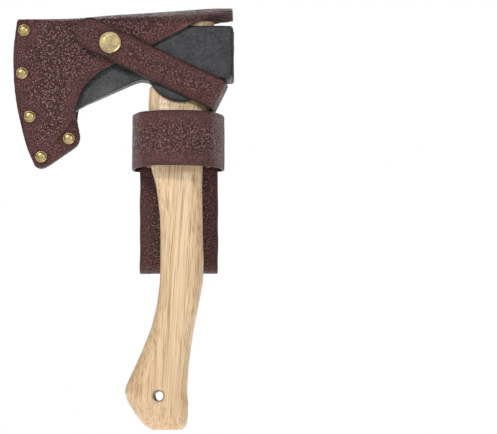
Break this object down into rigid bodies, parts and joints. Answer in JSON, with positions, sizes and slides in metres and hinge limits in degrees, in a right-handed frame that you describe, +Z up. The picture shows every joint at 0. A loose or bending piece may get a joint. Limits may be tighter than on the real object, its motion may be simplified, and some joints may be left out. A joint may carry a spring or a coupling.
{
  "type": "carving hatchet",
  "caption": "Bearded carving hatchet with an ash handle, in a riveted leather blade sheath with a snap strap, hanging in a leather belt ring.",
  "frame": {"origin": "middle of the flat face inside the belt loop that the belt lies against", "axes": "+Z up as carried on a belt, with the head up; -X towards the cutting edge, +X towards the poll; -Y the snap side, +Y the wearer's hip"},
  "size_m": [0.173, 0.0597, 0.3296],
  "materials": {
    "leather": "pebbled dark maroon-brown leather, semi-matt, with bare cut edges",
    "ash_wood": "oiled light ash, fine lengthwise grain, satin",
    "wedge_wood": "darker hardwood, end grain, matt",
    "forged_steel": "black forge scale with an oxide finish, mottled",
    "antique_brass": "antique brass, domed, tarnished at the rim"
  },
  "bodies": {
    "carrier": {"belt_loop": "leather", "collar": "leather", "loop_lower_front_rivet_post": "antique_brass", "loop_lower_front_rivet_socket": "antique_brass", "loop_lower_rear_rivet_post": "antique_brass", "loop_lower_rear_rivet_socket": "antique_brass", "loop_upper_front_rivet_post": "antique_brass", "loop_upper_front_rivet_socket": "antique_brass", "loop_upper_rear_rivet_post": "antique_brass", "loop_upper_rear_rivet_socket": "antique_brass"},
    "hatchet": {"axe_head": "forged_steel", "beard_rivet_post": "antique_brass", "beard_rivet_socket": "antique_brass", "edge_welt": "leather", "handle": "ash_wood", "lower_rivet_post": "antique_brass", "lower_rivet_socket": "antique_brass", "middle_rivet_post": "antique_brass", "middle_rivet_socket": "antique_brass", "sheath": "leather", "snap_stud_post": "antique_brass", "snap_stud_socket": "antique_brass", "strap_back": "leather", "strap_rivet_post": "antique_brass", "strap_rivet_socket": "antique_brass", "toe_rivet_post": "antique_brass", "toe_rivet_socket": "antique_brass", "upper_rivet_post": "antique_brass", "upper_rivet_socket": "antique_brass", "wooden_wedge": "wedge_wood"},
    "strap_front": {"strap_front": "leather", "snap_cap": "antique_brass", "snap_socket": "antique_brass"}
  },
  "joints": [
    {"name": "draw_from_ring", "type": "slide", "parent": "carrier", "child": "hatchet", "axis": [0.075, 0, 0.9972], "range_m": [0, 0.26]},
    {"name": "strap_swing", "type": "hinge", "parent": "hatchet", "child": "strap_front", "pos_m": [0.02904, -0.0377, 0.09476], "axis": [0.4384, 0, 0.8988], "range_deg": [0, 95]}
  ]
}
